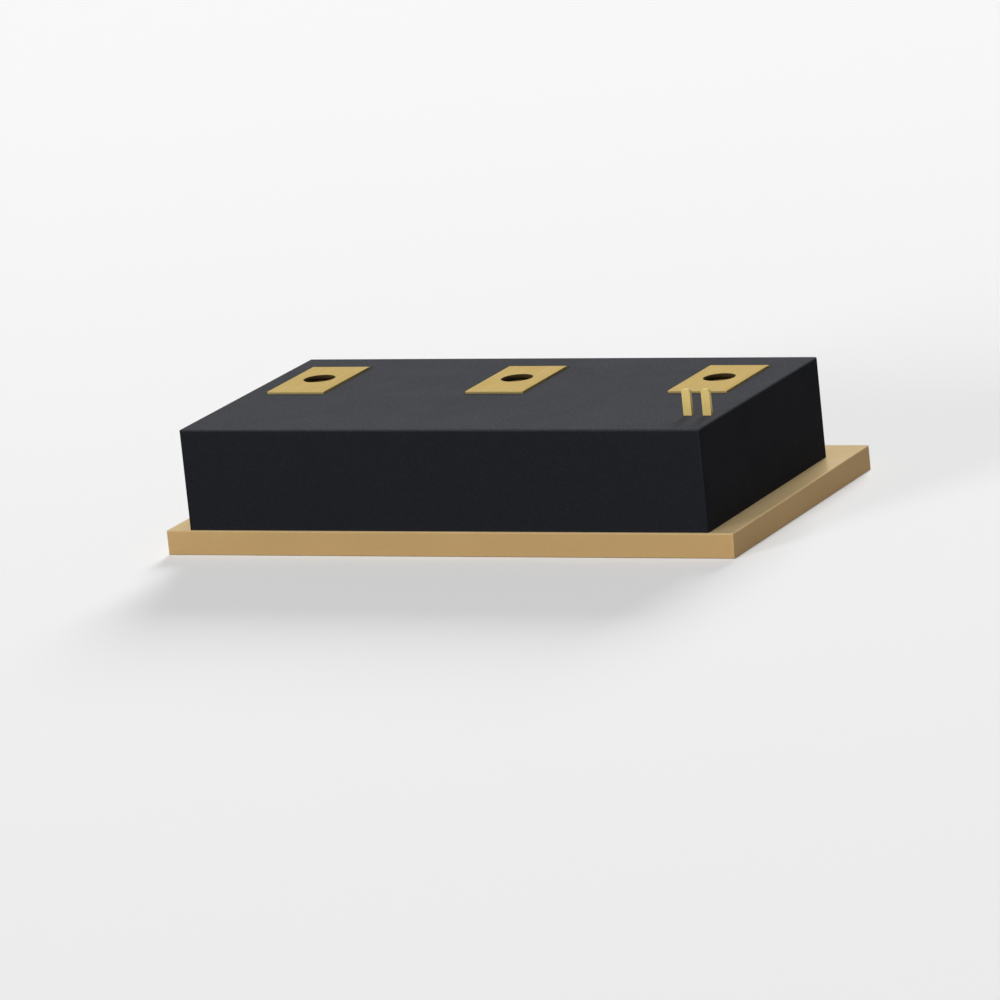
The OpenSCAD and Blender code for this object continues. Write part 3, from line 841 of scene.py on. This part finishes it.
def make_camera(scene, studio):
    """A long lens that looks from the front and the right, turned a little about its own axis."""
    camera = new_object("camera", bpy.data.cameras.new("camera"))
    camera.data.lens = studio.lens
    camera.data.clip_start = 0.01
    camera.data.clip_end = 100
    back = towards(studio.azimuth, studio.elevation)
    level = Vector((math.cos(studio.azimuth), math.sin(studio.azimuth), 0))
    rise = back.cross(level)
    right = level * math.cos(studio.roll) + rise * math.sin(studio.roll)
    up = back.cross(right)
    aim = Vector((0, 0, studio.aim_height))
    eye = aim + back * studio.distance + right * studio.aside[0] + up * studio.aside[1]
    camera.matrix_world = Matrix.Translation(eye) @ Matrix((right, up, back)).transposed().to_4x4()
    scene.camera = camera


# ---- operators ----

class THYRISTOR_OT_baseplate(Operator):
    """Finish the copper baseplate"""
    bl_idname = "thyristor_module.baseplate"
    bl_label = "Baseplate"
    bl_options = {"REGISTER", "UNDO"}

    def execute(self, context):
        baseplate = context.scene.thyristor_module.baseplate
        mesh = merged_copy("baseplate")
        place("copper_baseplate", mesh, copper_finish(baseplate), "baseplate")
        return {"FINISHED"}


class THYRISTOR_OT_case(Operator):
    """Finish the moulded case and break the edges of its recesses"""
    bl_idname = "thyristor_module.case"
    bl_label = "Case"
    bl_options = {"REGISTER", "UNDO"}

    def execute(self, context):
        case = context.scene.thyristor_module.case
        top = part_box("case")[1].z
        mesh = merged_copy("case")
        break_edges(mesh, case.bevel, lambda edge: all(top - v.co.z < MERGE_DISTANCE for v in edge.verts))
        place("moulded_case", mesh, plastic_finish(case), "case")
        return {"FINISHED"}


class THYRISTOR_OT_terminals(Operator):
    """Finish the three brass screw terminals and the control pins"""
    bl_idname = "thyristor_module.terminals"
    bl_label = "Terminals and pins"
    bl_options = {"REGISTER", "UNDO"}

    def execute(self, context):
        terminals = context.scene.thyristor_module.terminals
        strip = strip_finish(terminals)
        pin = pin_finish(terminals)
        seen_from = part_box("case")[1].z - SEEN_DEPTH
        for node in TERMINALS + PINS:
            mesh = merged_copy(node)
            break_edges(mesh, terminals.bevel, lambda edge: all(v.co.z > seen_from for v in edge.verts))
            place("brass_" + node, mesh, pin if node in PINS else strip, node)
        return {"FINISHED"}


class THYRISTOR_OT_nuts(Operator):
    """Make the captive nuts, with their threads"""
    bl_idname = "thyristor_module.nuts"
    bl_label = "Nuts"
    bl_options = {"REGISTER", "UNDO"}

    def execute(self, context):
        nuts = context.scene.thyristor_module.nuts
        low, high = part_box("terminal_nuts")
        crest = screw_mount(TERMINALS[0])["dims"]["r_mm"] * MM
        mesh = threaded_nut(nuts, (high.y - low.y) / 2, crest, high.z - low.z)
        piece = new_piece("threaded_nuts", mesh)
        first, spacing = screw_row()
        repeat_nut(piece, {
            "Count": nuts.count,
            "First": (first.x, first.y, low.z),
            "Spacing": spacing,
            "Finish": passivated_finish(nuts),
        })
        hand_over(piece, "terminal_nuts")
        return {"FINISHED"}


class THYRISTOR_OT_inside(Operator):
    """Finish the parts that the case encloses"""
    bl_idname = "thyristor_module.inside"
    bl_label = "Inner parts"
    bl_options = {"REGISTER", "UNDO"}

    def execute(self, context):
        finishes = inner_finishes(context.scene.thyristor_module.inside)
        for part in frame["record"]["subparts"]:
            if part["material_slot"] in finishes:
                node = frame["nodes"][part["node"]]
                node.material_slots[0].material = finishes[part["material_slot"]]
        return {"FINISHED"}


class THYRISTOR_OT_studio(Operator):
    """Set the floor, the lights and the camera"""
    bl_idname = "thyristor_module.studio"
    bl_label = "Studio"
    bl_options = {"REGISTER", "UNDO"}

    def execute(self, context):
        studio = context.scene.thyristor_module.studio
        make_floor(studio)
        make_world(context.scene, studio)
        for name in ("key", "top", "fill"):
            make_light(name, studio)
        make_camera(context.scene, studio)
        context.scene.view_settings.view_transform = "Standard"
        return {"FINISHED"}


# ---- panel and registration ----

STEPS = (
    (THYRISTOR_OT_baseplate, "baseplate"),
    (THYRISTOR_OT_case, "case"),
    (THYRISTOR_OT_terminals, "terminals"),
    (THYRISTOR_OT_nuts, "nuts"),
    (THYRISTOR_OT_inside, "inside"),
    (THYRISTOR_OT_studio, "studio"),
)


class THYRISTOR_PT_module(Panel):
    """Lists the steps, each under its own settings"""
    bl_idname = "THYRISTOR_PT_module"
    bl_label = "Thyristor Module"
    bl_space_type = "VIEW_3D"
    bl_region_type = "UI"
    bl_category = "Thyristor Module"

    def draw(self, context):
        settings = context.scene.thyristor_module
        for operator, group_name in STEPS:
            box = self.layout.box()
            box.operator(operator.bl_idname)
            group = getattr(settings, group_name)
            for name in type(group).__annotations__:
                box.prop(group, name)


CLASSES = (
    CaseSettings, BaseplateSettings, TerminalSettings, NutSettings, InsideSettings, StudioSettings,
    ModuleSettings, *(operator for operator, _ in STEPS), THYRISTOR_PT_module,
)


def register():
    for cls in CLASSES:
        bpy.utils.register_class(cls)
    bpy.types.Scene.thyristor_module = PointerProperty(type=ModuleSettings)


def unregister():
    del bpy.types.Scene.thyristor_module
    for cls in reversed(CLASSES):
        bpy.utils.unregister_class(cls)


def main():
    register()
    for operator, _ in STEPS:
        space, name = operator.bl_idname.split(".")
        getattr(getattr(bpy.ops, space), name)()


if __name__ == "__main__":
    main()
